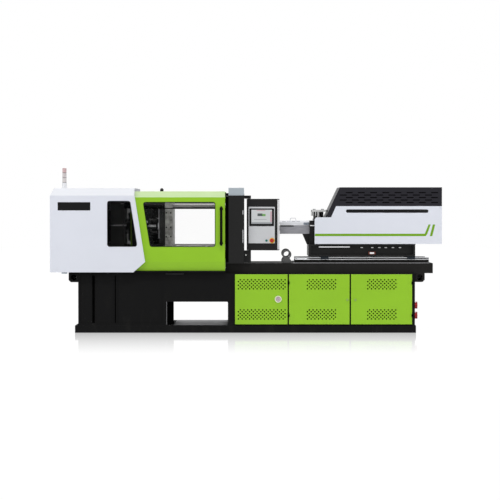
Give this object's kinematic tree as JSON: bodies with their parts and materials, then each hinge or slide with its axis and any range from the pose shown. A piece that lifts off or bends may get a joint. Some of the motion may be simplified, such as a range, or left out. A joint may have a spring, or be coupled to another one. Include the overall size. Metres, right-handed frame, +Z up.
{
  "type": "injection moulding machine",
  "caption": "Horizontal all-electric injection moulding machine with toggle clamp, sliding gates, control panel, barrel on a carriage and cabinet base.",
  "frame": {"origin": "floor level, at the middle of the machine's length and width", "axes": "+X along the machine from the clamp to the injection unit, +Z up, the operator's side at -Y"},
  "size_m": [5.888, 1.64, 2.475],
  "materials": {
    "black_frame": "satin powder coat",
    "white_cover": "smooth powder coat",
    "green_cover": "smooth powder coat",
    "dark_roof": "satin powder coat",
    "column_grey": "satin powder coat",
    "light_grey": "smooth powder coat",
    "platen_paint": "machined casting",
    "dark_casting": "painted casting",
    "ground_steel": "ground and hard chromed",
    "steel": "turned and ground",
    "stainless": "brushed stainless sheet",
    "smoked_pane": "smoked polycarbonate",
    "clear_pane": "clear polycarbonate",
    "black_plastic": "fine grained",
    "screen_glass": "lit display",
    "red_plastic": "gloss",
    "green_plastic": "gloss",
    "beacon_plastic": "translucent tiers"
  },
  "bodies": {
    "machine": {"plinth": "black_frame", "clamp_base": "black_frame", "cabinet_frame": "black_frame", "bed_beam": "black_frame", "lifting_eyes": "black_frame", "carriage_rails": "steel", "fixed_platen": "platen_paint", "tie_bars": "ground_steel", "front_clamp_cover": "white_cover", "rear_clamp_cover": "white_cover", "clamp_windows": "smoked_pane", "clamp_end_cover": "white_cover", "clamp_hood": "white_cover", "signal_beacon": "beacon_plastic", "guard_frame": "black_frame", "column_covers": "column_grey", "terminal_box": "light_grey", "hmi_brackets": "column_grey", "cabinet_panel": "green_cover", "rear_cabinet_panels": "black_frame", "drive_units": "light_grey", "power_sockets": "red_plastic"},
    "front_gate": {"front_gate": "green_cover", "front_gate_window": "clear_pane", "front_gate_handle": "black_plastic"},
    "rear_gate": {"rear_gate": "green_cover", "rear_gate_window": "clear_pane"},
    "end_platen": {"end_platen": "platen_paint", "end_platen_nuts": "steel", "closing_motor": "dark_casting"},
    "closing_screw": {"closing_screw": "steel"},
    "crosshead": {"crosshead": "dark_casting"},
    "upper_crosshead_links": {"upper_crosshead_links": "dark_casting"},
    "lower_crosshead_links": {"lower_crosshead_links": "dark_casting"},
    "upper_rear_links": {"upper_rear_links": "dark_casting"},
    "lower_rear_links": {"lower_rear_links": "dark_casting"},
    "moving_platen": {"moving_platen": "platen_paint"},
    "upper_front_links": {"upper_front_links": "dark_casting"},
    "lower_front_links": {"lower_front_links": "dark_casting"},
    "ejector": {"ejector": "steel"},
    "carriage": {"carriage_base": "dark_roof", "feed_housing": "dark_roof", "barrel": "steel", "lower_guard": "light_grey", "hopper_plate": "stainless", "injection_covers": "white_cover", "injection_roof": "dark_roof"},
    "heater_guard": {"heater_guard": "light_grey"},
    "injection_plate": {"injection_plate": "platen_paint"},
    "plasticizing_screw": {"plasticizing_screw": "steel"},
    "hmi": {"hmi_housing": "black_plastic", "hmi_screen": "screen_glass"},
    "emergency_stop": {"emergency_stop": "red_plastic"},
    "start_button": {"start_button": "green_plastic"},
    "left_door": {"left_door": "green_cover"},
    "left_door_lock": {"left_door_lock": "black_plastic"},
    "right_door": {"right_door": "green_cover"},
    "right_door_lock": {"right_door_lock": "black_plastic"},
    "upper_socket_lid": {"upper_socket_lid": "red_plastic"},
    "lower_socket_lid": {"lower_socket_lid": "red_plastic"}
  },
  "joints": [
    {"name": "front_gate_slide", "type": "slide", "parent": "machine", "child": "front_gate", "axis": [-1, 0, 0], "range_m": [0, 0.74]},
    {"name": "rear_gate_slide", "type": "slide", "parent": "machine", "child": "rear_gate", "axis": [-1, 0, 0], "range_m": [0, 0.74]},
    {"name": "mould_height", "type": "slide", "parent": "machine", "child": "end_platen", "axis": [1, 0, 0], "range_m": [-0.2, 0.12]},
    {"name": "clamp_stroke", "type": "slide", "parent": "end_platen", "child": "moving_platen", "axis": [1, 0, 0], "range_m": [0, 0.5]},
    {"name": "crosshead_slide", "type": "slide", "parent": "end_platen", "child": "crosshead", "axis": [1, 0, 0], "range_m": [0, 0.3259]},
    {"name": "closing_screw_spin", "type": "hinge", "parent": "end_platen", "child": "closing_screw", "pos_m": [-2.061, 0, 1.59], "axis": [1, 0, 0], "range_deg": [0, 2348]},
    {"name": "upper_rear_link_hinge", "type": "hinge", "parent": "end_platen", "child": "upper_rear_links", "pos_m": [-1.611, 0, 1.98], "axis": [0, -1, 0], "range_deg": [0, 75.97]},
    {"name": "lower_rear_link_hinge", "type": "hinge", "parent": "end_platen", "child": "lower_rear_links", "pos_m": [-1.611, 0, 1.2], "axis": [0, 1, 0], "range_deg": [0, 75.97]},
    {"name": "upper_front_link_hinge", "type": "hinge", "parent": "moving_platen", "child": "upper_front_links", "pos_m": [-1.451, 0, 1.98], "axis": [0, 1, 0], "range_deg": [0, 75.97]},
    {"name": "lower_front_link_hinge", "type": "hinge", "parent": "moving_platen", "child": "lower_front_links", "pos_m": [-1.451, 0, 1.2], "axis": [0, -1, 0], "range_deg": [0, 75.97]},
    {"name": "upper_crosshead_link_hinge", "type": "hinge", "parent": "crosshead", "child": "upper_crosshead_links", "pos_m": [-1.77687, 0, 1.77], "axis": [0, -1, 0], "range_deg": [0, 74.63]},
    {"name": "lower_crosshead_link_hinge", "type": "hinge", "parent": "crosshead", "child": "lower_crosshead_links", "pos_m": [-1.77687, 0, 1.41], "axis": [0, 1, 0], "range_deg": [0, 74.63]},
    {"name": "ejector_slide", "type": "slide", "parent": "moving_platen", "child": "ejector", "axis": [1, 0, 0], "range_m": [0, 0.1]},
    {"name": "carriage_slide", "type": "slide", "parent": "machine", "child": "carriage", "axis": [-1, 0, 0], "range_m": [0, 0.32]},
    {"name": "heater_guard_hinge", "type": "hinge", "parent": "carriage", "child": "heater_guard", "pos_m": [0.731, 0.113, 1.608], "axis": [-1, 0, 0], "range_deg": [0, 90]},
    {"name": "injection_slide", "type": "slide", "parent": "carriage", "child": "injection_plate", "axis": [1, 0, 0], "range_m": [0, 0.2]},
    {"name": "screw_spin", "type": "hinge", "parent": "injection_plate", "child": "plasticizing_screw", "pos_m": [1.5, 0, 1.59], "axis": [1, 0, 0], "continuous": true},
    {"name": "panel_swivel", "type": "hinge", "parent": "machine", "child": "hmi", "pos_m": [0.033, -0.63, 1.238], "axis": [0, 0, 1], "range_deg": [-70, 12]},
    {"name": "emergency_stop_press", "type": "slide", "parent": "hmi", "child": "emergency_stop", "axis": [0.2079, 0.9781, 0], "range_m": [0, 0.005], "stiffness_N_per_m": 3000},
    {"name": "start_press", "type": "slide", "parent": "hmi", "child": "start_button", "axis": [0.2079, 0.9781, 0], "range_m": [0, 0.005], "stiffness_N_per_m": 800},
    {"name": "left_door_hinge", "type": "hinge", "parent": "machine", "child": "left_door", "pos_m": [0.628, -0.726, 0.503], "axis": [0, 0, -1], "range_deg": [0, 110]},
    {"name": "left_lock_turn", "type": "hinge", "parent": "left_door", "child": "left_door_lock", "pos_m": [1.508, -0.72, 0.495], "axis": [0, 1, 0], "range_deg": [0, 90]},
    {"name": "right_door_hinge", "type": "hinge", "parent": "machine", "child": "right_door", "pos_m": [2.485, -0.726, 0.503], "axis": [0, 0, 1], "range_deg": [0, 110]},
    {"name": "right_lock_turn", "type": "hinge", "parent": "right_door", "child": "right_door_lock", "pos_m": [1.63, -0.72, 0.495], "axis": [0, -1, 0], "range_deg": [0, 90]},
    {"name": "upper_socket_lid_hinge", "type": "hinge", "parent": "machine", "child": "upper_socket_lid", "pos_m": [2.5653, -0.56, 0.455], "axis": [0, -1, 0], "range_deg": [0, 100]},
    {"name": "lower_socket_lid_hinge", "type": "hinge", "parent": "machine", "child": "lower_socket_lid", "pos_m": [2.5653, -0.56, 0.303], "axis": [0, -1, 0], "range_deg": [0, 100]}
  ],
  "couplings": [
    {"joint": "crosshead_slide", "follows": "clamp_stroke", "ratio": 0.65173},
    {"joint": "closing_screw_spin", "follows": "clamp_stroke", "rad_per_m": 81.899},
    {"joint": "upper_rear_link_hinge", "follows": "clamp_stroke", "rad_per_m": 2.6519},
    {"joint": "upper_front_link_hinge", "follows": "clamp_stroke", "rad_per_m": 2.6519},
    {"joint": "upper_crosshead_link_hinge", "follows": "clamp_stroke", "rad_per_m": 2.6051},
    {"joint": "lower_rear_link_hinge", "follows": "clamp_stroke", "rad_per_m": 2.6519},
    {"joint": "lower_front_link_hinge", "follows": "clamp_stroke", "rad_per_m": 2.6519},
    {"joint": "lower_crosshead_link_hinge", "follows": "clamp_stroke", "rad_per_m": 2.6051}
  ]
}
